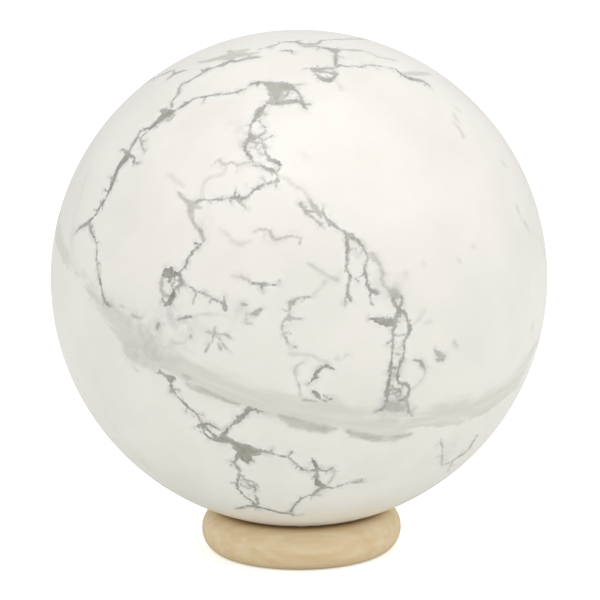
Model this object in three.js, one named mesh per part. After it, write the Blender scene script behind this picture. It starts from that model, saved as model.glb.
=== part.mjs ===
// A polished stone sphere resting on a turned wooden ring stand.
// Millimetres, +Z up. The origin is on the surface that the ring stands on, under the sphere's centre.

import * as THREE from "three";

// Driving dimensions
const sphereDiameter = 150;
const ringDiameter = 61; // over the rounded outer side
const ringHeight = 12.5;
const boreDiameter = 40;
const seatDiameter = 45.2; // the circle where the sphere meets the ring's top face
const sideRound = 5; // how far in from the rim the outer rounding reaches
const boreEdgeRound = 0.8; // softened edge of the bore at the underside
const seatGap = 0.3; // between the stone and the dished seat

// How finely the round surfaces are faceted
const stepsAround = 72;
const sphereBands = 44;
const sideSteps = 14;
const seatSteps = 4;
const edgeSteps = 4;

// Worked out from the sizes above
const sphereRadius = sphereDiameter / 2;
const ringRadius = ringDiameter / 2;
const boreRadius = boreDiameter / 2;
const sphereCentreHeight = ringHeight + Math.sqrt(sphereRadius ** 2 - (seatDiameter / 2) ** 2);

const howlite = new THREE.MeshStandardMaterial({ color: 0xece9e0, roughness: 0.2, metalness: 0 });
const beech = new THREE.MeshStandardMaterial({ color: 0xd8bf94, roughness: 0.55, metalness: 0 });

// Points along an elliptical arc, from one angle to another, turning the short way between them.
function arcPoints(centreX, centreY, radiusX, radiusY, from, to, steps) {
  return new THREE.EllipseCurve(centreX, centreY, radiusX, radiusY, from, to, to < from).getPoints(steps);
}

// The sphere, its poles on the vertical axis.
function stoneSphere() {
  const geometry = new THREE.SphereGeometry(sphereRadius, stepsAround, sphereBands);
  geometry.rotateX(Math.PI / 2);
  const mesh = new THREE.Mesh(geometry, howlite);
  mesh.name = "sphere";
  mesh.position.z = sphereCentreHeight;
  return mesh;
}

// The ring's section, as x = radius and y = height: softened bore edge, half-round side, then a seat dished
// to the sphere, concentric with it and seatGap larger.
function ringSection() {
  const seatRadius = sphereRadius + seatGap;
  const seatAngleAt = (height) => -Math.asin((sphereCentreHeight - height) / seatRadius);
  const seatOuterAngle = seatAngleAt(ringHeight);
  const seatInnerAngle = -Math.acos(boreRadius / seatRadius);
  const section = [
    ...arcPoints(
      boreRadius + boreEdgeRound, boreEdgeRound, boreEdgeRound, boreEdgeRound,
      -Math.PI, -Math.PI / 2, edgeSteps,
    ),
    ...arcPoints(
      ringRadius - sideRound, ringHeight / 2, sideRound, ringHeight / 2,
      -Math.PI / 2, Math.PI / 2, sideSteps,
    ),
    ...arcPoints(0, sphereCentreHeight, seatRadius, seatRadius, seatOuterAngle, seatInnerAngle, seatSteps),
  ];
  section.push(section[0].clone());
  return section;
}

// The ring stand, turned about the vertical axis.
function ringStand() {
  const geometry = new THREE.LatheGeometry(ringSection(), stepsAround);
  geometry.rotateX(Math.PI / 2);
  const mesh = new THREE.Mesh(geometry, beech);
  mesh.name = "ring_stand";
  return mesh;
}

const object = new THREE.Group();
object.add(stoneSphere(), ringStand());

export default object;
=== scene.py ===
# A polished howlite sphere that rests on a turned beech ring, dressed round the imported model.
import math
import random

import bmesh
import bpy
from mathutils import Matrix, Vector, kdtree


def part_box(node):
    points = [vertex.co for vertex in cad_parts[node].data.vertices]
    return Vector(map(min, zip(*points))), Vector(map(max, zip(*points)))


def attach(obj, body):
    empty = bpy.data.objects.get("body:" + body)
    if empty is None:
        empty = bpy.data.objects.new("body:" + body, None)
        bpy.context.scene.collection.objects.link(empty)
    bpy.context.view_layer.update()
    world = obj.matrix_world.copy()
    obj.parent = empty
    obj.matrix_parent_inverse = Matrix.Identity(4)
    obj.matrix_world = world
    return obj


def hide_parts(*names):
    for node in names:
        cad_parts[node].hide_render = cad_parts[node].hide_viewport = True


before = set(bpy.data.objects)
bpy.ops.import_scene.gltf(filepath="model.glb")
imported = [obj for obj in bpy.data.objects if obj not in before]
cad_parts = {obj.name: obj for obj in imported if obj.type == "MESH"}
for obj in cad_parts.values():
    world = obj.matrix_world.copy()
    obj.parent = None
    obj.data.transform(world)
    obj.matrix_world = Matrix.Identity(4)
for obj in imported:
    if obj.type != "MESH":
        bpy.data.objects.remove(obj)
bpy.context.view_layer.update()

mm = 0.001  # every length below is in millimetres, Blender works in metres

sphereLow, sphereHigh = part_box("sphere")
ringLow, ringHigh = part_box("ring_stand")
stoneRadius = (sphereHigh[0] - sphereLow[0]) / 2
stoneCentre = (Vector(sphereLow) + Vector(sphereHigh)) / 2
print("frame loaded, stone radius", round(stoneRadius / mm, 2), "mm")


def linearColour(hexCode):
    # an sRGB hex colour as the linear values that Blender's sockets take
    channels = [int(hexCode[i : i + 2], 16) / 255 for i in (0, 2, 4)]
    return [c / 12.92 if c <= 0.04045 else ((c + 0.055) / 1.055) ** 2.4 for c in channels] + [1]


def addNode(tree, kind, inputs, result=0):
    # adds a node and gives the output asked for; inputs are the node's own properties, and its sockets by
    # name or number, each with its value or with the output that feeds it
    node = tree.nodes.new("ShaderNode" + kind)
    for name, value in inputs.items():
        if not isinstance(name, int) and name not in node.inputs:
            setattr(node, name, value)
        elif isinstance(value, bpy.types.NodeSocket):
            tree.links.new(value, node.inputs[name])
        else:
            node.inputs[name].default_value = value
    return node.outputs[result] if node.outputs else None


def combine(tree, operation, a, b):
    return addNode(tree, "Math", {"operation": operation, 0: a, 1: b})


def spread(tree, value, low, high, toLow=0, toHigh=1):
    # lays what lies from low to high evenly over toLow to toHigh
    return addNode(tree, "MapRange", {0: value, 1: low, 2: high, 3: toLow, 4: toHigh})


def ramp(tree, value, start, end, top=1):
    # climbs with soft ends from nothing at start to top at end
    return addNode(tree, "MapRange", {"interpolation_type": "SMOOTHSTEP",
                                      0: value, 1: start, 2: end, 3: 0, 4: top})


def cloudy(tree, place, size, low, high, toLow=0, toHigh=1, detail=3, roughness=0.55):
    # soft noise with cells of size mm, whose middle range, low to high, is laid over toLow to toHigh
    noise = addNode(tree, "TexNoise", {"Vector": place, "Scale": 1 / size, "Detail": detail,
                                       "Roughness": roughness}, "Fac")
    return spread(tree, noise, low, high, toLow, toHigh)


def blend(tree, amount, below, above):
    # colours are hex codes or the output of an earlier blend
    below, above = (linearColour(c) if isinstance(c, str) else c for c in (below, above))
    return addNode(tree, "Mix", {"data_type": "RGBA", 0: amount, 6: below, 7: above}, 2)


def placeInMm(tree, centre=(0, 0, 0)):
    # where a point lies from centre, in mm
    return addNode(tree, "Mapping", {"Vector": addNode(tree, "TexCoord", {}, "Object"),
                                     "Location": -Vector(centre) / mm, "Scale": (1 / mm,) * 3})


def stretched(tree, place, size, turn=(0, 0, 0)):
    # a place measured in cells of this size, turned by these radians
    return addNode(tree, "Mapping", {"vector_type": "TEXTURE", "Vector": place, "Scale": size,
                                     "Rotation": turn})


def newMaterial(name):
    material = bpy.data.materials.new(name)
    material.use_nodes = True
    material.node_tree.nodes.clear()
    return material, material.node_tree


def finishMaterial(tree, inputs):
    addNode(tree, "OutputMaterial", {"Surface": addNode(tree, "BsdfPrincipled", inputs)})


def newObject(name, bm, material):
    mesh = bpy.data.meshes.new(name)
    bm.to_mesh(mesh)
    bm.free()
    mesh.materials.append(material)
    made = bpy.data.objects.new(name, mesh)
    bpy.context.scene.collection.objects.link(made)
    return made


def newPiece(name, bm, material, node):
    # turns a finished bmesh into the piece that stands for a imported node
    piece = newObject(name, bm, material)
    piece.data.polygons.foreach_set("use_smooth", [True] * len(piece.data.polygons))
    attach(piece, "root")
    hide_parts(node)
    return piece


viewSettings = {
    "elevation": 12.5,      # degrees above the horizon
    "distance": 1100,       # mm from the sphere's centre
    "lens": 218.2,          # mm
    "sensor": 36,           # mm wide
    "aimDown": 6.6,         # mm below the sphere's centre
    "aimRight": 0.24,       # mm
    "roll": 0.57,           # degrees, the camera was not quite level
}


def makeCamera():
    view = viewSettings
    turned = Matrix.Rotation(math.radians(90) - math.radians(view["elevation"]), 4, "X")
    aim = stoneCentre + turned.to_3x3() @ (Vector((view["aimRight"], -view["aimDown"], 0)) * mm)
    away = turned.to_3x3() @ Vector((0, 0, view["distance"] * mm))
    roll = Matrix.Rotation(math.radians(-view["roll"]), 4, "Z")
    data = bpy.data.cameras.new("camera")
    data.sensor_width = view["sensor"]
    data.lens = view["lens"]
    camera = bpy.data.objects.new("camera", data)
    camera.matrix_world = Matrix.Translation(aim + away) @ turned @ roll
    bpy.context.scene.collection.objects.link(camera)
    bpy.context.scene.camera = camera


lightSettings = {
    # degrees round to the right of the camera and up, distance and size in mm, watts
    "key": {"turn": 46, "rise": 60, "distance": 1200, "size": 1500, "watts": 5.2, "colour": "fffdf8"},
    "second": {"turn": -46, "rise": 54, "distance": 1200, "size": 1300, "watts": 2.7, "colour": "fffdf8"},
    "side": {"turn": 95, "rise": 15, "distance": 1000, "size": 700, "watts": 0.35, "colour": "fbfcff"},
}


def direction(turn, rise):
    # the unit vector that points turn degrees round to the right of the front and rise degrees up
    a, b = math.radians(turn), math.radians(rise)
    return Vector((math.cos(b) * math.sin(a), -math.cos(b) * math.cos(a), math.sin(b)))


def makeLights():
    for name, light in lightSettings.items():
        data = bpy.data.lights.new(name, "AREA")
        data.shape = "DISK"
        data.size = light["size"] * mm
        data.energy = light["watts"]
        data.color = linearColour(light["colour"])[:3]
        away = direction(light["turn"], light["rise"])
        lamp = bpy.data.objects.new(name, data)
        lamp.location = stoneCentre + away * light["distance"] * mm
        lamp.rotation_euler = away.to_track_quat("Z", "Y").to_euler()
        bpy.context.scene.collection.objects.link(lamp)


worldSettings = {
    "colour": "fdfdff",
    "strength": 0.68,
    "backdrop": 1,          # its strength where it is seen directly: paper white
}


def makeWorld():
    world = bpy.data.worlds.new("studio")
    world.use_nodes = True
    bpy.context.scene.world = world
    tree = world.node_tree
    tree.nodes.clear()
    seen = addNode(tree, "LightPath", {}, "Is Camera Ray")
    strength = spread(tree, seen, 0, 1, worldSettings["strength"], worldSettings["backdrop"])
    colour = linearColour(worldSettings["colour"])
    sky = addNode(tree, "Background", {"Color": colour, "Strength": strength})
    addNode(tree, "OutputWorld", {"Surface": sky})


floorSettings = {
    "colour": "f4f6f2",
    "roughness": 0.9,
    "radius": 1600,         # mm
    "sides": 96,
    "glow": 0.55,           # lit from beneath, for a white ground
}


def makeFloor():
    s = floorSettings
    bm = bmesh.new()
    bmesh.ops.create_circle(bm, cap_ends=True, segments=s["sides"], radius=s["radius"] * mm)
    # White painted board: quite matt, so that it gives the eye nothing but the soft shade round the ring
    material, tree = newMaterial("white painted studio floor")
    glow = combine(tree, "MULTIPLY", addNode(tree, "LightPath", {}, "Is Camera Ray"), s["glow"])
    finishMaterial(tree, {
        "Base Color": linearColour(s["colour"]), "Roughness": s["roughness"], "Specular IOR Level": 0.0,
        "Emission Color": linearColour("ffffff"), "Emission Strength": glow})
    newObject("floor", bm, material)


makeCamera()
makeLights()
makeWorld()
makeFloor()
bpy.context.scene.view_settings.view_transform = "Standard"
print("camera, lights and floor are up")

ringSettings = {
    "boreDiameter": 40,     # mm
    "sideRound": 5,         # how far in from the rim the half-round side reaches
    "seatGap": 0.06,        # between the stone and the dished seat
    "boreEdgeRound": 0.8,   # softened edges: the bore's lower one, and the two of the seat
    "seatEdgeRound": 0.35,
    "sideSteps": 36,
    "seatSteps": 8,
    "edgeSteps": 4,
    "steps": 192,           # round the ring
}


def sweepVertex(bm, vertex, centre, degrees, steps):
    # swings a vertex round a centre in the section's plane, drawing edges, and returns the last it made
    made = bmesh.ops.spin(bm, geom=[vertex], cent=centre, axis=(0, 1, 0), angle=math.radians(degrees),
                          steps=steps)
    return [v for v in made["geom_last"] if isinstance(v, bmesh.types.BMVert)][0]


def softenCircle(bm, radius, z, size):
    # rounds the edge that runs round the ring at this radius and height
    near = 0.02
    circle = [e for e in bm.edges if all(
        abs(math.hypot(v.co.x, v.co.y) - radius) < near and abs(v.co.z - z) < near for v in e.verts)]
    bmesh.ops.bevel(bm, geom=circle, offset=size, offset_type="OFFSET", segments=ringSettings["edgeSteps"],
                    profile=0.5, affect="EDGES", material=-1)


def makeRing():
    s = ringSettings
    height = (ringHigh[2] - ringLow[2]) / mm
    rim = (ringHigh[0] - ringLow[0]) / 2 / mm
    bore = s["boreDiameter"] / 2
    roundCentre = rim - s["sideRound"]
    centreHeight = (stoneCentre[2] - ringLow[2]) / mm
    seatRadius = stoneRadius / mm + s["seatGap"]
    seatEdge = math.sqrt(seatRadius ** 2 - (centreHeight - height) ** 2)
    seatFoot = centreHeight - math.sqrt(seatRadius ** 2 - bore ** 2)
    seatSwing = math.degrees(math.asin(seatEdge / seatRadius) - math.asin(bore / seatRadius))

    bm = bmesh.new()
    foot = bm.verts.new((bore, 0, 0))
    sideStart = bm.verts.new((roundCentre, 0, 0))
    bm.edges.new((foot, sideStart))
    before = set(bm.verts)
    sideEnd = sweepVertex(bm, sideStart, (roundCentre, 0, height / 2), -180, s["sideSteps"])
    side = [v for v in bm.verts if v not in before]
    squeeze = s["sideRound"] / (height / 2)
    bmesh.ops.scale(bm, vec=(squeeze, 1, 1), space=Matrix.Translation((-roundCentre, 0, 0)), verts=side)
    seatStart = bm.verts.new((seatEdge, 0, height))
    bm.edges.new((sideEnd, seatStart))
    seatEnd = sweepVertex(bm, seatStart, (0, 0, centreHeight), seatSwing, s["seatSteps"])
    bm.edges.new((seatEnd, foot))
    bmesh.ops.spin(bm, geom=bm.verts[:] + bm.edges[:], cent=(0, 0, 0), axis=(0, 0, 1), angle=math.tau,
                   steps=s["steps"], use_merge=True)
    bmesh.ops.remove_doubles(bm, verts=bm.verts, dist=1e-4)
    bmesh.ops.recalc_face_normals(bm, faces=bm.faces)
    softenCircle(bm, bore, 0, s["boreEdgeRound"])
    softenCircle(bm, seatEdge, height, s["seatEdgeRound"])
    softenCircle(bm, bore, seatFoot, s["seatEdgeRound"])
    bmesh.ops.scale(bm, vec=(mm, mm, mm), verts=bm.verts)
    bmesh.ops.translate(bm, vec=(0, 0, ringLow[2]), verts=bm.verts)
    print("ring turned:", len(bm.faces), "faces")
    return newPiece("beech_ring", bm, makeBeech(), "ring_stand")


# Turned beech, sanded fine and left without a finish: pale and matt, with calm grain, short faint ray
# flecks, the fine rings that the turning tool leaves, and painted shade: browner wood close under the
# stone.
beechSettings = {
    "pale": "fbe6c2",
    "honey": "f1d5a8",
    "fleck": "dcbf93",
    # painted shade: the colour the wood darkens to near the seat, standing in for the stone's shadow on the
    # ring
    "paintedShade": "b9965f",
    "grainSize": (60, 2.6, 2.6),        # mm along the growth layers and between them
    "grainLean": (0, 0.05, 0.12),       # radians
    "grainContrast": (0.35, 0.68),
    "fleckSize": (3.2, 0.35, 0.35),     # mm
    "fleckContrast": (0.62, 0.76),
    "fleckStrength": 0.35,
    "paintedShadeReach": (28.6, 24),         # mm from the axis: none at the first, full at the second
    "paintedShadeStrength": 0.75,
    "toolScale": 0.314 / 0.35,          # 0.314 gives the wave one ring each mm, and the tool moves 0.35 mm
    "toolDepth": 0.4,                   # as a share of the grain's own depth
    "relief": 0.00006,                  # m
    "reliefStrength": 0.15,
    "roughness": 0.62,
    "ior": 1.42,
}


def makeBeech():
    s = beechSettings
    material, tree = newMaterial("turned beech, sanded")
    place = placeInMm(tree)
    grainPlace = stretched(tree, place, s["grainSize"], s["grainLean"])
    grain = addNode(tree, "TexNoise", {"Vector": grainPlace, "Scale": 1, "Detail": 4,
                                       "Roughness": 0.55}, "Fac")
    wood = blend(tree, spread(tree, grain, *s["grainContrast"]), s["pale"], s["honey"])
    fleckPlace = stretched(tree, place, s["fleckSize"])
    flecks = cloudy(tree, fleckPlace, 1, *s["fleckContrast"], 0, s["fleckStrength"], 2, 0.5)
    wood = blend(tree, flecks, wood, s["fleck"])
    flat = addNode(tree, "VectorMath", {"operation": "MULTIPLY", 0: place, 1: (1, 1, 0)})
    fromAxis = addNode(tree, "VectorMath", {"operation": "LENGTH", 0: flat}, "Value")
    # painted shade under the stone: the wood darkens towards the seat, in place of the stone's cast shadow
    wood = blend(tree, ramp(tree, fromAxis, *s["paintedShadeReach"], s["paintedShadeStrength"]), wood, s["paintedShade"])
    rings = addNode(tree, "TexWave", {"wave_type": "RINGS", "rings_direction": "Z", "Vector": place,
                                      "Scale": s["toolScale"], "Distortion": 0.6, "Detail": 1}, "Fac")
    height = addNode(tree, "Math", {"operation": "MULTIPLY_ADD", 0: rings, 1: s["toolDepth"], 2: grain})
    bump = addNode(tree, "Bump", {"Strength": s["reliefStrength"], "Distance": s["relief"],
                                  "Height": height})
    finishMaterial(tree, {"Base Color": wood, "Roughness": s["roughness"], "IOR": s["ior"], "Normal": bump})
    return material


# Each vein is (tone, route), and tone 1 is darkest. A route's stops are (degrees round to the right of the
# front, degrees above the middle, width in mm), chosen one by one; the wander between them is made below.
crownVeins = [
    (.9, [(-17.5, 60.8, 1.2), (-21, 60.2, .6), (-22.6, 58.5, .6), (-27, 56.7, .7), (-32.6, 56.1, 1.1),
      (-38, 55, .8), (-43, 53.8, .6), (-45, 51.3, 1), (-47, 49.6, .7)]),
    (.8, [(-50, 50.5, 1), (-52.2, 51.9, .8), (-53.1, 54.7, 1.1), (-56, 56.2, .8), (-56.8, 57.6, 1.1),
      (-54.8, 58.5, 1.5), (-53.5, 59.7, .9), (-52.5, 61.5, 1.2), (-52.2, 63.8, 1.9), (-48.9, 64.8, 1.1),
      (-46, 66.2, 2), (-44.2, 68, 2.1), (-39.4, 68.3, 1.3), (-36, 69.5, 1.9), (-31, 70.6, 1.3),
      (-26, 71.3, .6)]),
    (.5, [(-64, 65.5, .8), (-57, 68.3, 2.8), (-51, 70, 4.2), (-45, 71, 3.6), (-39, 71.6, 2.2),
      (-32, 73, .9)]),
    (.5, [(-60, 72, 1), (-52, 71.4, 2.2), (-44, 74, 1)]),
    (.55, [(4, 78.8, 1.4), (10, 77.6, 3), (17, 77.4, 2)]),
    (.6, [(-67.7, 65.3, .8), (-63, 65.9, .6), (-60, 66.6, .4)]),
    (.8, [(-72, 59.2, 1.8), (-66, 62, .4)]),
    (.8, [(-72, 59.2, 1.8), (-71, 56.2, .3)]),
    (.8, [(-72, 59.2, 1.8), (-79, 60.2, .3)]),
    (.8, [(-34, 75, .5), (-24, 78, .6), (-16, 80.5, .9), (-2, 80.4, 1.2), (6, 81.5, .6)]),
    (.8, [(-14, 74.6, .8), (-9, 75, 1.4), (-5, 74.8, 1), (-2.5, 73.2, .4)]),
    (.8, [(-2, 80.4, 1), (6, 79, 1.4), (10, 78.3, 2), (17, 78.6, 1.2), (23, 78.5, 1.4), (30, 79.5, 1.2),
      (36, 80.5, .6)]),
    (.8, [(10, 78.3, 1.6), (18, 76.8, .8), (26, 75.7, 1), (33, 73.6, 3)]),
    (.8, [(33, 73.6, 1.6), (29, 71.6, .8), (27, 70.4, 1.1), (24.2, 68.6, .9), (22.8, 67, .8)]),
    (.6, [(33, 73.6, 1.6), (40, 73.8, .8), (44, 73.3, 1), (49, 72.7, 1.1), (55, 72, 1), (57.5, 70.8, .7),
      (58, 69.2, .6), (59, 67.6, .8), (63, 66.8, .6), (68, 65, .4)]),
    (.85, [(3.8, 66.3, .3), (8.6, 66.3, .8), (14.6, 65.9, 1), (21, 66.1, .8), (25.3, 67, .9),
      (29, 66.1, .6), (34.5, 65.9, .8), (36, 65.2, .4), (40.4, 65.9, .9), (45.5, 65.5, 1),
      (49.5, 64.8, .8), (54, 63.5, .5), (57, 62.7, .6), (56.4, 61.5, 1), (56.5, 60, 1.2),
      (57, 58.6, 1.6), (60.8, 57.7, 1.8), (64.3, 56.9, 1.3), (64.7, 55.7, .8), (64.6, 54.3, .4)]),
    (.8, [(9, 66, 1.6), (10, 63.7, 1), (12.4, 61.9, 1.8), (14.9, 61.3, 1.6), (18, 62.4, 1.1),
      (20.1, 63.6, 1.2), (16, 64.4, 1), (12, 65.2, 2)]),
    (.35, [(17, 62, .6), (18.7, 60.7, .5), (19, 57.7, .3)]),
    (.4, [(57, 60.5, 1.5), (66, 59.5, 2.2), (78, 57.5, 1.2)]),
    (.75, [(-12, 59.5, 2), (-9.5, 59.4, 4.6), (-6, 59.6, 4.2), (-3, 59.5, 2.4)]),
    (.75, [(-21, 60.3, .5), (-17.5, 60.9, 1), (-13, 60.6, 2.2), (-9, 59.5, 4)]),
    (.75, [(-8.6, 59, 4.6), (-8.6, 57, 4.2), (-8.4, 55.4, 3.4), (-10.8, 54.6, 1.6)]),
    (.8, [(-11.2, 54.2, 1.2), (-8, 54.3, 2), (-4, 54.7, 1.8), (0, 54.9, 1.4), (2, 54, 1.1),
      (2.5, 52.8, .8), (4, 52.2, .5)]),
    (.8, [(-2.4, 59.6, 1.6), (-.6, 58.4, 1), (.8, 57.2, .9), (1.4, 55.6, .9), (2, 54, 1)]),
    (.6, [(-2, 60.2, .9), (3.1, 60.4, .3)]),
    (.7, [(-6, 55, 1.2), (-4.2, 56.8, 1), (-3, 58.6, 1.4)]),
]
leftVeins = [
    (.9, [(-54.2, 49.2, .8), (-52, 49.2, 2.2), (-50, 48.4, 2)]),
    (1, [(-47.6, 48.6, 1.4), (-49.4, 48.8, 3), (-50.6, 47.2, 2.8), (-51.2, 45.8, 2), (-52, 44.4, 1.4),
      (-54.5, 43.5, .9), (-56.4, 42.7, .7), (-55.5, 40.9, .9), (-55.2, 37.2, 1.2), (-55, 35.6, 3),
      (-55.9, 34, 2), (-56, 32.6, 1.7), (-55.9, 30.4, 2.2), (-55.4, 28.6, 1.7), (-55.6, 26.8, 1),
      (-55.7, 25.3, 1), (-56.5, 24.3, 1.7), (-57.4, 21.8, .8), (-58.5, 20.6, .9), (-59.7, 19.5, 1.3)]),
    (.8, [(-49, 46.5, .6), (-52, 45.2, .5), (-53, 42.5, .5), (-54, 41, .6), (-51.5, 39.8, .6),
      (-48.6, 38.1, .5)]),
    (.9, [(-55.5, 36.6, 1.6), (-59.8, 37.4, .3)]),
    (.9, [(-55.3, 36.3, 1.6), (-51.2, 36.2, 1), (-51, 35.3, .9), (-47.4, 35.2, .5)]),
    (.9, [(-55.9, 30.5, 1), (-58.4, 30.6, .3)]),
    (.9, [(-55.6, 30.2, 1), (-54.2, 30, .3)]),
    (.9, [(-56.5, 24.3, 1), (-57.9, 24.9, .3)]),
    (.9, [(-56.3, 24.2, 1), (-55.3, 22.6, .3)]),
    (.9, [(-59.7, 19.5, 1.3), (-61.6, 18.5, 1.1), (-63.7, 17.5, .9), (-64.3, 16.4, .6),
      (-65.6, 15.5, .3)]),
    (.9, [(-59.4, 19.3, 1.2), (-59, 18.7, 1), (-57.8, 17.7, .9), (-55.4, 16.6, .8), (-54, 15.3, .6),
      (-53.1, 12.3, .8), (-52.4, 10.7, .5), (-51.3, 8.7, .5), (-50.1, 6.1, .9), (-49.5, 4.9, .8),
      (-48.5, 3.4, 1), (-47.2, 2.6, 1.3)]),
]
centreVeins = [
    (.9, [(-10.8, 54.3, 1.2), (-12.3, 52.8, 1), (-13.4, 51.8, 2.4), (-14, 50.4, 2.2), (-14.4, 49.2, 1.3),
      (-15.2, 47.6, .9), (-15.6, 45.9, .9), (-14.6, 44.7, 1.5), (-13.5, 44.3, 1.6)]),
    (.8, [(-14.2, 49.4, .6), (-12.6, 48.8, .4), (-11.6, 47.9, .5), (-10.2, 46.9, .6), (-10.4, 45.7, .6),
      (-11.8, 44.8, .7), (-13.5, 44.4, 1)]),
    (.8, [(-12, 44.5, .7), (-10.4, 43.6, .7), (-7.8, 44.8, .4)]),
    (.9, [(-14.6, 44.5, 1.6), (-15.4, 42.6, 1), (-15.6, 41.3, 1), (-14.2, 40, 1.1), (-13.1, 38.9, 1),
      (-12.4, 37.9, .8)]),
    (.9, [(-11, 43.8, .8), (-10.5, 42.9, .8), (-9.7, 41.4, .7), (-8.6, 39.8, .9), (-7.9, 38.7, 1.3),
      (-6.2, 38.4, 1.6), (-4.8, 37.5, 1)]),
    (.9, [(-12.4, 37.9, .8), (-12.2, 37.4, .6), (-10, 37.2, .6), (-8.8, 36.7, .9), (-7.2, 36.4, .8),
      (-5.8, 35.8, .7), (-5.6, 34.7, .7), (-5.3, 33.7, 1.2)]),
    (.8, [(-4.9, 37.6, .8), (-5.3, 36, .5)]),
    (.6, [(-12.8, 38.2, .7), (-14.5, 38, .6), (-16, 37.4, .6), (-16.8, 37.1, .6), (-18.5, 37.9, .6),
      (-19.9, 37.3, .7), (-21.3, 37.3, .7), (-22.4, 38.3, .6), (-24.1, 36.8, .3)]),
    (.6, [(-16.6, 37, .5), (-16.4, 35.8, .3)]),
    (.4, [(-19.9, 37, .6), (-20, 35.5, .7), (-20.9, 34.7, .6), (-23.1, 34.3, .5), (-24.4, 33.4, .7),
      (-25.1, 32.3, .6), (-25.1, 31, .7), (-24.6, 29, .8)]),
    (.9, [(-5.3, 33.7, 1.2), (-7, 33.4, .9), (-8.6, 32.9, .8), (-10, 32.1, 1), (-11.4, 31.5, .8),
      (-12.1, 30.5, .6), (-13.4, 29.7, .7), (-14.8, 29.4, 1), (-16.2, 29.6, .9), (-17.8, 29.3, .5),
      (-20, 29, .8), (-22.1, 28.8, .6), (-24.2, 28.8, .9), (-25.9, 28, 1.2)]),
    (.8, [(-16.1, 29.8, .7), (-16, 31.9, .25)]),
    (.8, [(-15.4, 29.3, .8), (-14.2, 28.4, .7), (-12.6, 27.1, .25)]),
    (.8, [(-5.5, 33.4, .8), (-5.6, 32, .4)]),
    (.8, [(-17.2, 29.1, .5), (-16.5, 28, .25)]),
    (.65, [(-31.5, 29.8, .8), (-30.4, 29, 1.4), (-28.9, 28.2, .9), (-27.3, 27.4, 2.4), (-26.6, 25.5, 1.6),
      (-26.4, 24.5, 1.6), (-25.6, 23.3, 1.3), (-24.6, 22.5, 1), (-23.4, 21.6, 1.3), (-22.7, 20.4, 1.4),
      (-22.2, 19.8, .8)]),
    (.65, [(-27, 27, 1.6), (-24.6, 26.8, .8)]),
    (.9, [(-22.2, 19.8, .5), (-22.9, 18.9, .5), (-23.9, 17.9, .8), (-25.2, 16.3, 1.2), (-26, 15.4, .8),
      (-26.1, 14, .5), (-26.8, 13, .6), (-27.9, 12.2, .8)]),
    (.25, [(-37, 33.6, .8), (-34.1, 32.7, 1.2), (-30.7, 31.3, 1)]),
    (.35, [(-18.3, 22.2, .5), (-15.6, 20.2, .6), (-13.5, 19.2, .8), (-12.2, 19.9, .6), (-11.1, 20.1, .4)]),
    (.6, [(-10.5, 22, .5), (-9.3, 22.7, .8), (-8.1, 22.8, .8), (-6.7, 22.4, 1), (-6.2, 21.3, .8),
      (-5.6, 20.4, .9), (-4.5, 20.7, .6), (-3.3, 20.9, .5), (-1.8, 21.3, .7), (-.6, 21.1, .6),
      (.7, 20.8, .5), (.2, 19.6, .6)]),
    (.6, [(-8.2, 22.6, .6), (-8, 20.8, .3)]),
    (.6, [(-6.8, 22.3, .5), (-6.4, 21.2, .4)]),
]
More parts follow.
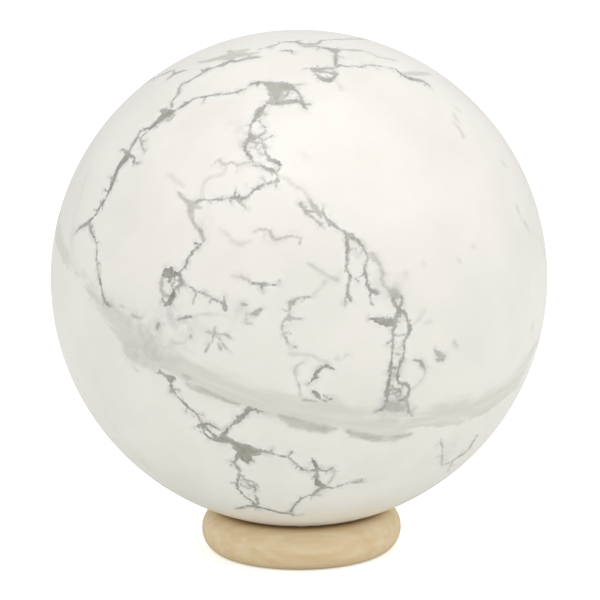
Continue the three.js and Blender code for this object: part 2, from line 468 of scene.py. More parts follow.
knotVeins = [
    (1, [(-29.7, 12.6, 1.8), (-31.3, 12.4, 1.6), (-31.7, 11.2, 1.4)]),
    (.6, [(-31.8, 10.8, 1.3), (-32, 9.6, 1.2), (-31.9, 8, 1.3), (-31, 6.9, 1.2), (-30, 6.8, 1.2)]),
    (1, [(-31.2, 11.8, 2.2), (-29.8, 11.6, 2), (-28.6, 11.7, 1)]),
    (1, [(-28.8, 12, 1.4), (-27.4, 11.7, 1.1), (-27, 10.8, 1.1), (-27, 9.8, 1.2), (-27.7, 9.1, .9),
      (-28.7, 8.6, .8), (-28.8, 7.3, 1.3), (-29.2, 6.7, 1.7), (-29.8, 5.4, 1.2), (-30.9, 4.7, .7)]),
    (.8, [(-26.9, 9.7, .6), (-25.4, 9.5, .5), (-24, 9.3, .6), (-23.4, 8.5, .9), (-22.1, 8.5, .9),
      (-20.2, 7.9, .8), (-18.7, 7.1, .8), (-17.4, 6.6, 1), (-16.5, 6.2, 1.2), (-16.3, 5, 1)]),
    (.8, [(-23.3, 8.4, .8), (-23.2, 7.4, .7), (-23.8, 5.9, .5)]),
    (.8, [(-16.5, 6.4, 1), (-16.6, 8, .3)]),
    (.7, [(-10.7, 4.2, .6), (-9.4, 4.5, 1.8), (-8.3, 5.3, .8)]),
    (.6, [(-11.5, 4.4, .5), (-11.5, 2.3, .5), (-10.5, 2.2, .5)]),
    (.8, [(-12.3, 6.3, .7), (-11.7, 6.3, .7)]),
    (.55, [(-14.8, 12.3, .4), (-13, 12.3, .7), (-11.5, 11.7, .6), (-10.4, 10.9, .9)]),
    (.9, [(-10.4, 10.9, 1), (-8.8, 10.9, .8), (-6.4, 10.7, .6), (-4.8, 10.8, .6), (-4.3, 11.7, .5)]),
    (.8, [(3, 8, .3), (.7, 8, .5), (-.8, 7.6, .6), (-1.9, 6.6, 1.4), (-2.3, 4.4, .7), (-2.1, 3.4, 1.2)]),
    (.8, [(-2.1, 3.4, 1), (-.8, 3.3, .5), (.6, 3.4, .3)]),
    (.8, [(-2.4, 3.5, .8), (-3, 3.4, .5), (-3.6, 2.3, .6), (-3.8, 1.1, .7), (-3.2, -.5, .6),
      (-2.6, -1.7, .5), (-1.6, -2.6, .5), (-.8, -2.9, 1)]),
    (.6, [(.6, -6.4, .4), (-.8, -7.3, .6), (-1.2, -8.5, .6), (-.8, -10.3, .5), (-.2, -12, .6),
      (.1, -14, .5)]),
    (.35, [(-1.8, -4.5, .8), (.6, -4.5, .6), (2.6, -4.8, .6), (4.3, -5.9, .6), (6.9, -6.9, .5)]),
    (.5, [(7.9, -5.8, .6), (8.3, -5.8, .5)]),
    (.5, [(10, -5.1, .6), (10.5, -5.1, .5)]),
    (.7, [(-18.7, 1.5, .4), (-18.7, -.4, 1.4)]),
    (.7, [(-18.7, -.4, 1.2), (-16.4, -.4, .8), (-14.8, -1.4, .3)]),
    (.7, [(-18.2, -1, .8), (-16.5, -3.1, .6), (-14.8, -4.5, .25)]),
    (.7, [(-17.9, -2.6, .6), (-17.4, -3.7, 1)]),
    (.7, [(-18.9, -.8, 1), (-19.4, -2.6, .4)]),
    (.7, [(-19.3, -2.2, .4), (-21, -4.6, .5)]),
    (.7, [(-18.9, -.2, .8), (-20.7, -.1, .3)]),
    (1, [(-27.2, 2, 1.1), (-25.8, 2.6, .9), (-24.2, 2.9, .7)]),
    (.4, [(-24, 3, .5), (-20, 3.9, .4), (-17.8, 3.9, .3)]),
    (.8, [(-24.4, -1.3, .8), (-24.5, -1.8, .5)]),
    (.35, [(-24.6, -1.9, .4), (-26, -3, .5), (-29, -3.2, .4)]),
    (.8, [(-32.4, .3, 1.2), (-32.8, -.4, 1.2)]),
    (.55, [(-39.8, 1.6, .8), (-38.4, 1.3, 1.1), (-36.8, 1.4, .6)]),
    (.55, [(-36.2, -.4, .6), (-35.6, -1.6, .6)]),
    (.55, [(-47.4, 2.6, 1), (-46.2, 2.6, .8)]),
    (.55, [(-43.6, 3.2, .6), (-42, 3, .5)]),
]
lowerVeins = [
    (.95, [(-34.4, -11, .6), (-32.8, -10.7, 1.4), (-31.6, -11.2, .9), (-30.5, -11.9, 2.4),
      (-28.9, -11.7, .8)]),
    (.95, [(-30.5, -12.2, 1.2), (-30.4, -13.1, .7), (-30.4, -14.5, 1), (-29.4, -15.9, .7),
      (-28, -17.3, .8), (-26.4, -19, .8), (-25, -20.1, .7), (-24.6, -21.2, .7), (-24.1, -22.6, 1.1)]),
    (.9, [(-25, -20.1, .6), (-23.6, -20.3, .3)]),
    (.9, [(-30.4, -14.5, .7), (-31, -15.3, .3)]),
    (.5, [(-27, -10.5, .7), (-25.3, -11.1, 1), (-26.4, -11.9, .8)]),
    (.5, [(-26.2, -12.7, 1.4), (-23.7, -13.7, 1.8), (-21, -14.4, 1.5), (-17.6, -15.7, 1.3),
      (-14, -16.7, .9)]),
    (1, [(-26.4, -24, .4), (-24.1, -22.9, 1), (-22, -22.5, .7), (-20.6, -23.5, .7), (-19.3, -24.2, .7),
      (-18.8, -25, 1)]),
    (1, [(-24, -23, .9), (-22.8, -24.4, .9), (-21.7, -25.5, 1), (-20.6, -26.4, 1.4)]),
    (1, [(-24.1, -23.4, .8), (-24, -25, .8), (-23.4, -26.3, 1), (-22, -26.9, 1.3), (-20.6, -26.8, 2)]),
    (1, [(-21, -26.6, 1.6), (-19.4, -26.4, 2.6), (-17.6, -26.8, 2.2), (-16.1, -28, 2.8),
      (-14.3, -29.4, 4.4), (-12, -29.8, 2.6), (-9.9, -29.3, 1.3)]),
    (1, [(-19, -26, 1.6), (-18.6, -24.8, 1.2), (-17.5, -23.3, .8), (-16.2, -22, .8), (-14.5, -20.6, 1.4),
      (-12.9, -19.3, .9), (-12, -17.8, 1.6), (-10.3, -17.9, 1), (-7.7, -18.6, .4)]),
    (1, [(-14.4, -30.5, 4.2), (-14.4, -32.2, 2.8), (-14.2, -33.3, 1)]),
    (1, [(-15, -30.4, 2.4), (-16.6, -31.6, 1.4), (-17.6, -33.2, 1.1), (-19.3, -34.7, .6)]),
    (1, [(-17.8, -33.4, 1.1), (-17.3, -35.9, .9), (-17.4, -37.5, .8), (-18.2, -39.3, .8),
      (-19.5, -41.6, .9), (-19.8, -43.7, .7), (-19.2, -46, .6), (-17.9, -47.8, .7), (-16.7, -49.4, 1),
      (-17.1, -51.6, 1.2)]),
    (1, [(-14, -30.4, 2), (-13.2, -32.2, .9), (-12.4, -33, .4)]),
    (.9, [(-17.2, -38, .7), (-16.2, -39.6, .9), (-14.2, -39.9, .7), (-13.8, -41.6, .8), (-15, -44.6, .7),
      (-14.7, -47.2, 1.2), (-15.2, -49.5, .8), (-16.8, -51.4, .9)]),
    (1, [(-9.9, -29.3, 1.3), (-8.5, -29.8, 1.1), (-6.9, -30.1, .8), (-5.4, -30.8, .7), (-3.5, -31, .8),
      (-2, -32.5, .9), (-.7, -33.9, .7), (.4, -35.3, .9), (2.1, -35.8, .6), (4.4, -35.7, 1.1),
      (6, -35.8, .7), (7.8, -35.7, .6), (8.8, -35.2, 1), (9.8, -36.2, .3)]),
    (.9, [(-3.3, -30.9, .7), (-2.1, -29.5, .3)]),
    (1, [(2.9, -31.7, .5), (3.5, -33, 1), (4.3, -34.6, 1.2), (4.6, -36, 1.1), (4.4, -37.3, .8),
      (3.4, -38.5, .4)]),
    (1, [(4.5, -37, .8), (4.4, -38.8, 1.3), (5.2, -40.8, 2.2), (6.8, -41.8, 2), (8, -42.2, 1)]),
    (.6, [(8.9, -35.6, .9), (9.3, -37.8, .8), (8.4, -39.8, .9), (7.4, -41.4, 1.2)]),
    (1, [(8, -42.2, 1), (9.7, -42.7, .7), (12.7, -41.4, .6), (14.2, -40.6, .5), (16.4, -41, .6),
      (18, -40.9, .7), (19.6, -42, .3)]),
    (.9, [(17.8, -40.9, .6), (18, -39.9, .25)]),
    (1, [(6.4, -42.2, 1.4), (5, -43.6, 1.1), (3.7, -45.3, 1.4), (2, -45.7, .8), (.4, -46.9, .7),
      (-1.3, -49, .7), (-2.3, -50.5, .7), (-3.3, -52.3, 1.2), (-3.8, -54.2, 1.3)]),
    (.9, [(3.4, -45.6, 1), (3.1, -47.3, .3)]),
    (1, [(-3, -57.3, .4), (-4.2, -55.4, 1.2), (-7.6, -55.3, 1.7), (-10.3, -54.3, 1.2), (-12.7, -53, 1.2),
      (-15, -52.4, 1.4), (-17, -51.9, 1.6), (-20, -52.1, 1.3), (-23.6, -53.6, .9), (-27, -55, .4)]),
    (.9, [(-17, -52, 1), (-18, -54.5, .4)]),
    (.9, [(3, -66, .6), (8, -65.5, .9), (12, -65, .4)]),
    (.95, [(1.3, -12, .4), (2.5, -10.9, .6), (3.5, -8.9, 1.3), (4.7, -7.8, 1), (6, -7.3, 1),
      (7.4, -8, .7)]),
    (.95, [(3, -13.4, .7), (4, -14.3, 1.1), (4.8, -15.4, .7), (5.8, -15.8, .6), (7.1, -15.3, .7)]),
    (.7, [(.8, -15.4, .8), (2.6, -15.5, .6), (3.6, -15.9, .4)]),
    (.5, [(-5, -19.2, .8), (-3.6, -20.2, 2.2), (-1, -21.4, 3.2), (2.2, -22.4, 3.4), (5.5, -23, 3),
      (8.2, -23, 1.4)]),
    (.5, [(11.6, -24, 1.6), (12.8, -25, 2.2), (15, -25.5, 2), (17.7, -26.3, 2), (20, -27.1, 2.2),
      (23.1, -27.3, 2), (26.2, -27.1, 1.4), (28.4, -26.6, 1)]),
    (.8, [(55, -32.3, .6), (55.7, -35, 1), (56, -36.9, 1), (55, -38.3, 1.2), (52.4, -38.6, 1.1),
      (51, -39.7, 1.1), (53, -42.6, .8), (55, -45, .4)]),
    (.8, [(51, -39.7, 1), (48.5, -40, .9), (46, -40, .7), (44, -37, .6), (41.6, -33.4, .6),
      (38.8, -29.8, .4)]),
]
rightVeins = [
    (.45, [(-5.4, 34.6, .6), (-4.2, 34.7, .5), (-3, 34.2, .5), (-1.8, 33.1, .5), (-.3, 32.1, .5)]),
    (.5, [(-.3, 32.1, .5), (.9, 31.8, .5), (2, 30.6, .5), (2.8, 29.2, .6)]),
    (.7, [(2.8, 29.2, .7), (3.3, 28.4, 1.2), (4.1, 27.5, 1.7), (5, 26.4, 1.6), (5.5, 25.2, .8)]),
    (.75, [(.5, 28.4, 1.2), (1.6, 26.8, .9), (2.4, 25.9, .8), (3.9, 24.9, .8), (4.9, 24.2, .7),
      (6.1, 22.8, .3)]),
    (.85, [(1.6, 26.8, .5), (3.4, 26.7, .5), (4.8, 26.4, .6)]),
    (.85, [(6, 27.3, .6), (6.2, 25.9, .6), (6.8, 24.7, 1), (8, 23.8, 1.2), (9.4, 22.8, .8), (10.8, 22, .7),
      (11.2, 21.4, 1.2)]),
    (.85, [(11.2, 21.4, 1.2), (11.1, 19.9, 1), (11.3, 18, .9), (10.9, 15.9, .9), (10.5, 14.2, .8),
      (10.9, 13.2, .7), (11.5, 12.2, .8), (11, 11, .8), (10.7, 9.9, .7), (10.6, 8.5, .8),
      (11.2, 7.1, 1.1)]),
    (.8, [(11.4, 17.8, .6), (13.1, 18.1, .4)]),
    (.8, [(10.1, 7.6, .4), (9.9, 5.9, .5)]),
    (.8, [(12.6, 11.6, .5), (13.1, 11.1, .5)]),
    (.85, [(11.4, 21.3, .9), (11.9, 20.7, .7), (13.2, 20.2, .9), (13.9, 19.5, 1), (14.9, 18.4, .9),
      (15.4, 17.1, 1.1), (15.7, 15.9, .9), (15.1, 14.5, .7), (14.7, 13.6, .8), (15, 12.1, .8),
      (15.1, 10.4, .8), (15.8, 9, 1), (17.2, 8.3, 1.8)]),
    (.8, [(15.8, 8.9, .7), (15.6, 7.6, .7), (15.8, 6.2, .6), (16.6, 5.4, .3)]),
    (.5, [(15.6, 16.8, .9), (16.6, 16.6, 1.7), (17.9, 15.2, 1.2), (18.5, 13.9, 1.1), (19.1, 12.3, 1.2),
      (18.5, 11.2, 1.3), (18.9, 9.6, .9), (20.2, 8.6, 1.2), (21.4, 7.9, 2.6)]),
    (.4, [(2.1, 15.3, .7), (3.7, 14.2, .8), (5.4, 13.2, .6), (6.8, 12.2, .7), (8.4, 11.6, 1.1)]),
    (.4, [(5.6, 11.3, .7), (4.8, 10.1, .5), (2.9, 8.4, .5)]),
    (.6, [(21.2, 7.8, 2.6), (21.7, 7.4, 2.4)]),
    (.85, [(21.2, 7.6, 1), (20.9, 6.4, .9), (21.4, 5.2, 1), (22.2, 4.4, 1.3)]),
    (.85, [(23, 7, 1), (23, 5.6, 1), (22.3, 4.5, 1.2)]),
    (.9, [(22, 4, 1.1), (21.4, 2.1, .9), (21.1, .9, 1.1), (20.7, -.7, 1), (20.8, -2.9, .8),
      (20.7, -5.4, .7), (20.5, -7.3, .7), (20.4, -8.9, .9), (20.3, -10.6, .9), (20, -12.4, .9),
      (19.9, -14.8, 1.6), (20.2, -17, 1.2)]),
    (.9, [(22.5, 4.2, 1.1), (23.4, 3.6, 1), (23.9, 2.5, .9), (24.4, 1, 1), (24.8, -.3, 1.7),
      (24.3, -1.5, 1), (23.7, -2.2, .6), (23.3, -3.8, .8), (23.5, -5.5, .8), (23.3, -6.8, .8),
      (22.7, -7.8, .7), (22.3, -9.2, .9), (22.2, -11.4, .9), (22.7, -12.6, .9)]),
    (.85, [(20.7, -1.4, 1), (22.3, -1.5, .8), (24.2, -1.6, .9)]),
    (.85, [(20.4, -8.7, .9), (22.2, -8.9, .9)]),
    (.7, [(20.8, -5.5, .5), (23.3, -5.8, .6)]),
    (.9, [(22.7, -12.6, .8), (24.3, -12.9, .8), (25.5, -14.3, .9), (25.4, -15.9, 1.2), (24.6, -16.8, 1.5),
      (23.1, -16.9, .9)]),
    (.8, [(22.9, -14.2, .8), (23.6, -15.6, .6)]),
    (.8, [(20.1, -17, 1.3), (19.4, -18.6, 1.1), (17.3, -19.4, .4)]),
    (.5, [(20.5, -17.6, 2), (21.5, -18.6, 3), (23.5, -18.8, 3), (25, -19, 2)]),
    (.45, [(21, -9.8, .8), (21.4, -10.8, 1.4), (21.2, -11.6, .9)]),
    (.8, [(25, -17, 1.2), (25.7, -18.6, 1), (26.3, -20.3, .9), (27.7, -21.7, .4)]),
    (1, [(15.5, 2.8, .4), (17, 2.4, 1.4), (18.6, 1.9, 2.4), (20.3, 1.5, 2.2), (21, 1.5, 1.4)]),
    (.35, [(25.1, .4, .5), (26.1, 1, .4), (27.4, 2, .5), (28.5, 3.4, .6)]),
    (.35, [(28.5, .7, .5), (30, .7, .5)]),
    (.75, [(25.9, -7.5, .5), (27.4, -7.9, 1), (28.3, -9.1, 1.1), (29.1, -10.1, .8)]),
    (.5, [(29.1, -10.1, .8), (29, -11.3, .6), (27.7, -13.3, .6), (26.4, -14.5, .5)]),
    (.7, [(31.2, -5.9, .7), (32.3, -7, 1.8), (34, -7.7, .8)]),
    (.7, [(32, -8.2, 1.4), (33.6, -8.4, 1)]),
    (.5, [(36.3, -4.6, .7), (37.6, -6, .5)]),
    (.35, [(58, 44, .8), (58.3, 42.5, .9), (58, 41, .6)]),
    (.35, [(62, 46, .8), (60, 44, .6)]),
    (.4, [(57.3, 40.3, 1), (57.8, 40.2, .8)]),
    (.35, [(66, 47.3, .9), (66.4, 46.6, .7)]),
    (.35, [(66.5, 21.3, .7), (66.5, 20, .8), (66.3, 18.6, .6)]),
    (.35, [(67.5, 17, .7), (69, 15.8, .7), (69.5, 14.5, .5)]),
    (.35, [(78, 11.5, .8), (79, 10, .8), (79, 7.8, .6)]),
    (.35, [(70, 31.6, .9), (70.5, 30.4, .7)]),
    (.3, [(44, 15.6, .8), (44.3, 15.1, .6)]),
    (.3, [(39, 13.2, .8), (39.3, 12.8, .6)]),
    (.3, [(29, 13.8, .8), (29.3, 13.2, .6)]),
    (.3, [(24.3, 11.8, .8), (24.7, 11.3, .6)]),
    (.45, [(63, -19, .6), (63.4, -19.3, .5)]),
    (.45, [(58.8, -23.3, .6), (59.1, -23.6, .5)]),
    (.45, [(55, -27, .6), (55.3, -27.3, .5)]),
    (.35, [(67.5, -6.5, .7), (68, -8, .7), (68, -9.5, .5)]),
    (.45, [(-55, -39.5, .8), (-54, -41, .7)]),
    (.45, [(-48, -51, .8), (-46.5, -52, .6)]),
]
backVeins = [
    (.85, [(36, 80.5, .6), (70, 78, .8), (110, 72, .9), (135, 62, .8), (150, 50, 1.2), (160, 38, 1),
      (158, 26, .8), (165, 14, .9), (175, 4, .8)]),
    (.8, [(150, 50, 1), (130, 40, .8), (115, 33, .7), (100, 30, .9), (90, 24, .4)]),
    (.85, [(160, 38, 1), (178, 33, .8), (192, 28, .9), (205, 33, .8), (220, 30, 1), (235, 36, .8),
      (250, 45, .9), (265, 52, .8), (281, 60, .9)]),
    (.75, [(205, 33, .8), (210, 20, .7), (202, 8, .9), (210, -4, .8)]),
    (.75, [(175, 4, .8), (165, -10, .9), (150, -20, .8), (140, -35, .7), (125, -45, .9), (110, -52, .4)]),
    (.75, [(210, -4, .8), (220, -15, .9), (240, -22, .7), (255, -35, .9), (270, -42, .8), (290, -48, .7),
      (305, -52, .4)]),
    (.8, [(149, 50.5, 2.4), (152, 49, 3), (154, 47.2, 1.4)]),
    (.8, [(203, 32.5, 1.6), (206, 33.5, 2.6), (208.5, 32.6, 1.4)]),
    (.8, [(208.5, -3.4, 1.2), (211, -5, 2.4), (213, -7, 1.2)]),
    (.7, [(164, -10.5, 1.2), (165.5, -11.5, 1.8), (166.5, -13, .8)]),
]
veinGroups = [crownVeins, leftVeins, centreVeins, knotVeins, lowerVeins, rightVeins, backVeins]

# Nets of hairlines inside the vein cells: (round, up, width mm, height mm, threads' tone)
hairNets = [
    (-48.6, 48.2, 5.5, 5, .8), (-12.8, 41.6, 8, 8, .75), (-28.9, 10, 4.5, 5, .9),
    (-15.8, -41.3, 6.5, 5, .8), (22, -14.5, 6, 6, .8), (205, 31, 7, 6, .7), (152, 46, 6, 6, .7),
    (222, -17, 6, 6, .7),
]

# The grey-beige band of an older, healed crack: (round, up, full width in mm)
bandRoute = [
    (-58.8, 7.5, 1), (-56, 6.6, 2.5), (-53.5, 5.2, 4.5), (-50.5, 3.2, 6), (-47, 1.2, 5.5),
    (-44, -.8, 6), (-41.5, -3, 6.5), (-38.5, -4.6, 7), (-35, -6.2, 7), (-30, -7.4, 6),
    (-26, -9, 6.5), (-21, -11.5, 8), (-16, -13.5, 8.5), (-11, -15.2, 8.5), (-5, -16.7, 8),
    (1, -18.3, 8), (7, -19.7, 8.5), (13, -21.5, 9), (19, -23.5, 9), (25, -24.3, 6.5),
    (29, -22.8, 4), (33, -21.8, 5.5), (38, -23, 7.5), (44, -23, 7), (50, -22.5, 6.5),
    (56, -21.8, 7), (61, -20.9, 7.5), (65.5, -19.8, 7.5), (69, -17.3, 6), (71.5, -14.8, 4),
    (74, -12.5, 2.5), (82, -13, 3), (92, -14, 5), (106, -9, 6), (120, -3, 5), (136, 4, 4),
    (150, 10, 6), (165, 16, 7), (180, 20, 6), (195, 23, 5), (210, 25, 6), (225, 25, 7),
    (240, 24, 6), (255, 21.5, 5), (268, 18, 4), (282, 13, 5), (294, 9, 3), (301.2, 7.5, 1),
]
bandTongue = [(-41, -4.5, 5), (-40.6, -7, 5), (-40, -9.8, 2.5)]
faintBand = [(-72, 30, 1), (-69, 22, 2), (-67, 15, 3), (-64, 10, 3), (-60, 7.8, 3)]

# Soft lilac-grey clouds in the stone: (round, up, spread in mm, strength)
clouds = [
    (-29.5, 2.2, 3.2, .6), (-24, 0, 2.5, .4), (-46, 2, 2.8, .4), (-40, .5, 3.2, .45),
    (-35.5, -2.5, 3.4, .5), (-40.5, -7, 3, .5), (-34, -7, 3.4, .45), (-29.5, -6, 2.8, .4),
    (21.4, 8.5, 2.5, .35), (17.2, 8.8, 1.5, .3), (22.3, -18.3, 3.4, .9), (-22.4, 23.1, 1.8, .35),
    (-20, 47, 1.6, .5), (-15.8, 43.5, 2, .5), (.8, 39.5, 1.3, .45), (46, -35, 3.5, .35),
    (-54, 4.2, 1.2, .5), (-51.6, 3, 1.2, .45), (-12.8, 4.5, 2.2, .55),
]

stoneSettings = {
    "coarseRounds": 6,         # icosphere subdivisions, which leave about 2.8 mm between vertices
    "fineReach": (2.0, 0.6),   # mm from a vein's edge within which each round splits the mesh in three
    "veinStep": 0.3,           # mm between the samples along a vein
    "sway": 0.07,              # how far the middle of a stretch wanders aside, as a share of its length
    "swell": (0.85, 1.15),     # how much wider or narrower a vein gets there
    "bandStep": 0.8,
    "bandSway": 0.02,
    "farthest": 6,             # mm, where the distance to a vein stops counting
    "thornEvery": 7,           # mm between the small spurs beside a dark vein
    "thornTone": 0.75,         # the palest vein that has them
    "thornLean": (45, 90),     # degrees off the vein's own way
    "thornReach": (0.7, 2.2),  # mm past the vein's edge
    "thornHalf": (0.4, 0.08),  # half the width at the root and at the tip
    "thornSway": 0.12,
    "threadWidth": (0.35, 0.6),
    "threadSway": 0.1,
    "knotRoom": 3.2,           # square mm of a net for each knot
    "knotGap": 1.1,            # mm
    "seed": 11,
}
radiusMm = stoneRadius / mm
rng = random.Random(stoneSettings["seed"])


def onStone(turn, rise):
    # a point of the surface, in mm about the stone's centre
    return direction(turn, rise) * radiusMm


def ontoStone(point):
    return point.normalized() * radiusMm


def stopsOf(route):
    return [(onStone(turn, rise), width / 2) for turn, rise, width in route]


def wander(path, sway, step):
    # halves each stretch until it is short, and moves every new middle a little aside
    while max((b[0] - a[0]).length for a, b in zip(path, path[1:])) > step:
        finer = [path[0]]
        for (a, halfA), (b, halfB) in zip(path, path[1:]):
            stretch = b - a
            if stretch.length > step:
                aside = stretch.cross(a).normalized() * stretch.length * rng.uniform(-sway, sway)
                half = (halfA + halfB) / 2 * rng.uniform(*stoneSettings["swell"])
                finer.append((ontoStone((a + b) / 2 + aside), half))
            finer.append((b, halfB))
        path = finer
    return path


def addThorns(path, tone, samples):
    # small tapering spurs that leave a dark vein at a steep angle
    s = stoneSettings
    rootHalf, tipHalf = s["thornHalf"]
    sinceLast = rng.uniform(0, s["thornEvery"])
    for (a, half), (b, _) in zip(path, path[1:]):
        sinceLast += (b - a).length
        if sinceLast > s["thornEvery"] and half > 0.25:
            sinceLast = rng.uniform(-0.5, 0.5) * s["thornEvery"]
            along = (b - a).normalized()
            side = along.cross(a).normalized() * rng.choice((-1, 1))
            lean = math.radians(rng.uniform(*s["thornLean"]))
            reach = half + rng.uniform(*s["thornReach"])
            tip = ontoStone(a + (along * math.cos(lean) + side * math.sin(lean)) * reach)
            spur = wander([(a, min(half, rootHalf)), (tip, tipHalf)], s["thornSway"], s["veinStep"])
            samples.extend((point, width, tone) for point, width in spur)


def scatterKnots(turn, rise, width, height):
    # points strewn over an oval of the surface, none too close to another
    centre = onStone(turn, rise)
    east = Vector((math.cos(math.radians(turn)), math.sin(math.radians(turn)), 0))
    north = centre.normalized().cross(east)
    knots = []
    while len(knots) < width * height / stoneSettings["knotRoom"]:
        u, v = rng.uniform(-1, 1), rng.uniform(-1, 1)
        point = ontoStone(centre + east * u * width / 2 + north * v * height / 2)
        if u * u + v * v < 1 and all((point - k).length > stoneSettings["knotGap"] for k in knots):
            knots.append(point)
        elif rng.random() < 0.02:  # the oval may be too full for another
            break
    return knots


def addNet(turn, rise, width, height, tone, samples):
    # hairlines that join scattered points inside one vein cell
    s = stoneSettings
    knots = scatterKnots(turn, rise, width, height)
    for knot in knots:
        near = sorted(knots, key=lambda k: (k - knot).length)[1 : rng.choice((3, 4))]
        for other in near:
            half = rng.uniform(*s["threadWidth"]) / 2
            thread = wander([(knot, half), (other, half)], s["threadSway"], s["veinStep"])
            samples.extend((point, width, tone) for point, width in thread)


def gatherVeins():
    # all veins as (point, half width, tone), a sample every third of a millimetre or so
    samples = []
    for group in veinGroups:
        for tone, route in group:
            path = wander(stopsOf(route), stoneSettings["sway"], stoneSettings["veinStep"])
            samples += [(point, half, tone) for point, half in path]
            if tone >= stoneSettings["thornTone"] and len(route) > 3:
                addThorns(path, tone, samples)
    for net in hairNets:
        addNet(*net, samples)
    return samples


def makeTree(points):
    tree = kdtree.KDTree(len(points))
    for index, point in enumerate(points):
        tree.insert(point, index)
    tree.balance()
    return tree


def sortVeins(samples):
    # (tree, its samples, neighbours to weigh) for thin, middling and broad veins
    classes = []
    for low, high, neighbours in ((0, 0.45, 4), (0.45, 1.0, 8), (1.0, 9, 26)):
        those = [s for s in samples if low <= s[1] < high]
        classes.append((makeTree([s[0] for s in those]), those, neighbours))
    return classes


veinSamples = gatherVeins()
veinClasses = sortVeins(veinSamples)
print("veins sampled:", len(veinSamples), "samples")


def nearestVein(point):
    # signed distance in mm to the closest vein's edge, negative inside it, and that vein's tone
    edge, tone = stoneSettings["farthest"], 0
    for tree, those, neighbours in veinClasses:
        for _, index, distance in tree.find_n(point, neighbours):
            if distance - those[index][1] < edge:
                edge, tone = distance - those[index][1], those[index][2]
    return edge, tone


def bandField(routes):
    samples = []
    for route in routes:
        samples += wander(stopsOf(route), stoneSettings["bandSway"], stoneSettings["bandStep"])
    tree = makeTree([s[0] for s in samples])

    def edgeAt(point):
        # distance to the edge, and which side of the middle: -1 is 3 mm below it and 1 is 3 mm above
        middle, _, _ = tree.find(point)
        edge = min(distance - samples[index][1] for _, index, distance in tree.find_n(point, 14))
        return min(edge, stoneSettings["farthest"] * 2), max(-1, min(1, (point.z - middle.z) / 3))

    return edgeAt


fieldNames = ("veinEdge", "veinTone", "bandEdge", "bandSide", "faintEdge", "cloud")
bandEdgeAt = bandField([bandRoute, bandTongue])
faintEdgeAt = bandField([faintBand])
cloudSpots = [(onStone(turn, rise), reach, strength) for turn, rise, reach, strength in clouds]


def cloudAt(point):
    return sum(strength * math.exp(-((point - spot).length / reach) ** 2 / 2)
               for spot, reach, strength in cloudSpots)


def splitNearVeins(bm, reach):
    # splits the faces within reach of a vein's edge
    for edge in bm.edges:
        edge.tag = False
    for face in bm.faces:
        if nearestVein(ontoStone(face.calc_center_median()))[0] < reach:
            for edge in face.edges:
                edge.tag = True
    spreading = True
    while spreading:  # a face with two split edges gets its third split too, so that no sliver is left
        spreading = False
        for face in bm.faces:
            if sum(edge.tag for edge in face.edges) == 2:
                spreading = True
                for edge in face.edges:
                    edge.tag = True
    bmesh.ops.subdivide_edges(bm, edges=[e for e in bm.edges if e.tag], cuts=2, use_grid_fill=True)
    bmesh.ops.triangulate(bm, faces=bm.faces[:])
    for vertex in bm.verts:
        vertex.co = ontoStone(vertex.co)


def measureFields(bm):
    # what the stone's material has to know at each vertex, by name
    rows = []
    for vertex in bm.verts:
        rows.append((*nearestVein(vertex.co), *bandEdgeAt(vertex.co), faintEdgeAt(vertex.co)[0],
                     cloudAt(vertex.co)))
    return dict(zip(fieldNames, zip(*rows)))


def makeStone():
    bm = bmesh.new()
    bmesh.ops.create_icosphere(bm, subdivisions=stoneSettings["coarseRounds"], radius=radiusMm)
    for reach in stoneSettings["fineReach"]:
        splitNearVeins(bm, reach)
    fields = measureFields(bm)
    print("stone meshed:", len(bm.faces), "triangles")
    bmesh.ops.scale(bm, vec=(mm, mm, mm), verts=bm.verts)
    bmesh.ops.translate(bm, vec=stoneCentre, verts=bm.verts)
    piece = newPiece("howlite_sphere", bm, makeHowlite(), "sphere")
    for name, values in fields.items():
        piece.data.attributes.new(name, "FLOAT", "POINT").data.foreach_set("value", values)
    return piece


# Polished howlite: chalk-white, lapped to an even gloss that softens what it mirrors. Its grey veins are a
# little duller than the white and uneven in tone, with smoky stone beside them. Sizes are in mm.
howliteSettings = {
    "white": "f4f0ea",
    "cloudyWhite": "eeebe4",
    "cellWhite": "f1f1ee",     # the cooler white beside and between veins
    "veinDark": "797872",
    "veinGrey": "93928a",
    "veinOlive": "a3a193",
    "smoke": "cfccc4",         # the stained white close to a vein
    "band": "dbd9d0",
    "bandStreak": "e3e1d8",
    "cloudTint": "c6c1c2",
    "notchSize": 0.8,          # across the notches of a vein's edge
    "notchDepth": 0.26,
    "swellSize": 3.2,          # over which a vein swells and thins
    "swellDepth": 0.2,
    "fadeSize": 6,             # over which a vein's tone comes and goes
    "speckSize": 1.3,          # the same, within a vein
    "edgeSoft": (0.7, 0.26),   # how softly a faint vein's edge ends, and a dark one's
    "mottleSize": 22,
    "smokeSize": 3.5,
    "crackSize": 2.4,          # across the cells of the hairlines beside dark veins
    "crackWidth": 0.045,       # as a share of a cell
    "crackPatch": 4.5,
    "crackStrength": 0.42,
    "bandLie": (0.260, -0.308, 0.915),  # square to the band's own plane
    "streakSize": (16, 16, 2.2),
    "streakShift": 1.3,        # how far streaks move the band's edge, and how far lobes do
    "lobeSize": 5,
    "lobeShift": 0.9,
    "bandSoft": (0.8, 3),      # how softly the band ends below, and above
    "bandStrength": 0.9,
    "greyPatch": 3,
    "olivePatch": 4,
    "roughness": 0.26,
    "veinRoughness": 0.36,
    "ior": 1.59,
}


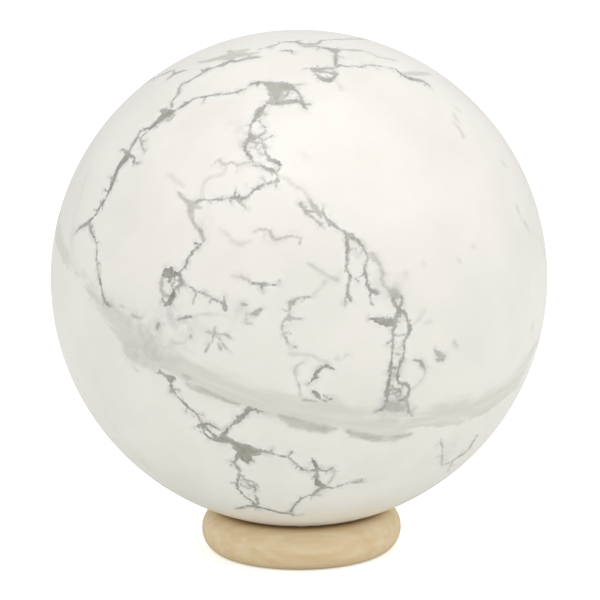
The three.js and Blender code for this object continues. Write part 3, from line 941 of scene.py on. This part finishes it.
def layVeins(tree, place, field):
    # a notched edge, softer where the tone is faint, over a strength that comes and goes
    s = howliteSettings
    tone = field["veinTone"]
    notches = cloudy(tree, place, s["notchSize"], 0.3, 0.7, -s["notchDepth"], s["notchDepth"], 3, 0.6)
    swell = cloudy(tree, place, s["swellSize"], 0.35, 0.65, -s["swellDepth"], s["swellDepth"])
    uneven = combine(tree, "MULTIPLY", combine(tree, "ADD", notches, swell), tone)
    edge = combine(tree, "ADD", field["veinEdge"], uneven)
    soft = spread(tree, tone, 0.3, 1, *s["edgeSoft"])
    mask = ramp(tree, edge, soft, combine(tree, "MULTIPLY", soft, -1))
    fade = combine(tree, "MULTIPLY", cloudy(tree, place, s["fadeSize"], 0.35, 0.6, 0.68, 1),
                   cloudy(tree, place, s["speckSize"], 0.3, 0.6, 0.8, 1))
    deep = ramp(tree, edge, -0.35, -1.0)
    fade = combine(tree, "MAXIMUM", fade, deep)
    return edge, deep, combine(tree, "MULTIPLY", combine(tree, "MULTIPLY", mask, tone), fade)


def layCracks(tree, place, field):
    # hairline cracks in the stone beside dark veins, in patches
    s = howliteSettings
    cracks = addNode(tree, "TexVoronoi", {"feature": "DISTANCE_TO_EDGE", "Scale": 1 / s["crackSize"],
                                          "Randomness": 1, "Vector": place}, "Distance")
    lines = ramp(tree, cracks, s["crackWidth"], 0.01, s["crackStrength"])
    near = ramp(tree, field["veinEdge"], 1.5, 0.3)
    patches = combine(tree, "MULTIPLY", near, cloudy(tree, place, s["crackPatch"], 0.5, 0.62))
    dark = ramp(tree, field["veinTone"], 0.6, 0.9)
    return combine(tree, "MULTIPLY", combine(tree, "MULTIPLY", lines, patches), dark)


def layWhite(tree, place, field, veinEdge):
    # slow warm and cool clouds, cooler close to a vein, and stained in places
    s = howliteSettings
    mottle = cloudy(tree, place, s["mottleSize"], 0.4, 0.65, 0, 1, 5)
    white = blend(tree, mottle, s["white"], s["cloudyWhite"])
    cool = combine(tree, "MULTIPLY", ramp(tree, veinEdge, 2.6, 0.2, 0.8),
                   ramp(tree, field["veinTone"], 0.55, 0.9))
    white = blend(tree, cool, white, s["cellWhite"])
    smoke = combine(tree, "MULTIPLY", ramp(tree, field["veinEdge"], 2.2, -0.3, 0.75),
                    cloudy(tree, place, s["smokeSize"], 0.45, 0.65))
    return blend(tree, combine(tree, "MULTIPLY", smoke, field["veinTone"]), white, s["smoke"])


def layBand(tree, place, field, white):
    # faintly streaked along its own plane, crisp below and melting into the white above
    s = howliteSettings
    lie = Vector(s["bandLie"]).to_track_quat("Z", "X").to_euler()
    streakPlace = stretched(tree, place, s["streakSize"], lie)
    streaks = cloudy(tree, streakPlace, 1, 0.3, 0.7, -s["streakShift"], s["streakShift"], 4)
    lobes = cloudy(tree, place, s["lobeSize"], 0.3, 0.7, -s["lobeShift"], s["lobeShift"])
    edge = combine(tree, "ADD", field["bandEdge"], combine(tree, "ADD", streaks, lobes))
    soft = spread(tree, field["bandSide"], -0.5, 0.8, *s["bandSoft"])
    mask = ramp(tree, edge, soft, combine(tree, "MULTIPLY", soft, -0.8), s["bandStrength"])
    amount = combine(tree, "MAXIMUM", mask, ramp(tree, field["faintEdge"], 1.5, -1.5, 0.5))
    colour = blend(tree, cloudy(tree, streakPlace, 1, 0.42, 0.66, 0, 1, 4), s["band"], s["bandStreak"])
    stone = blend(tree, amount, white, colour)
    return blend(tree, combine(tree, "MULTIPLY", field["cloud"], cloudy(tree, place, 3, 0.3, 0.6)), stone,
                 s["cloudTint"])


def makeHowlite():
    s = howliteSettings
    material, tree = newMaterial("polished howlite")
    place = placeInMm(tree, stoneCentre)
    field = {name: addNode(tree, "Attribute", {"attribute_name": name}, "Fac") for name in fieldNames}
    veinEdge, deep, veins = layVeins(tree, place, field)
    veins = combine(tree, "MAXIMUM", veins, layCracks(tree, place, field))
    stone = layBand(tree, place, field, layWhite(tree, place, field, veinEdge))

    # a vein is darker in thin and deep places, olive in broad ones
    grey = blend(tree, cloudy(tree, place, s["greyPatch"], 0.38, 0.6), s["veinDark"], s["veinGrey"])
    broad = combine(tree, "MULTIPLY", deep, cloudy(tree, place, s["olivePatch"], 0.3, 0.6, 0.35, 1))
    colour = blend(tree, veins, stone, blend(tree, broad, grey, s["veinOlive"]))
    polish = spread(tree, veins, 0, 1, s["roughness"], s["veinRoughness"])
    finishMaterial(tree, {"Base Color": colour, "Roughness": polish, "IOR": s["ior"]})
    return material


makeStone()
makeRing()
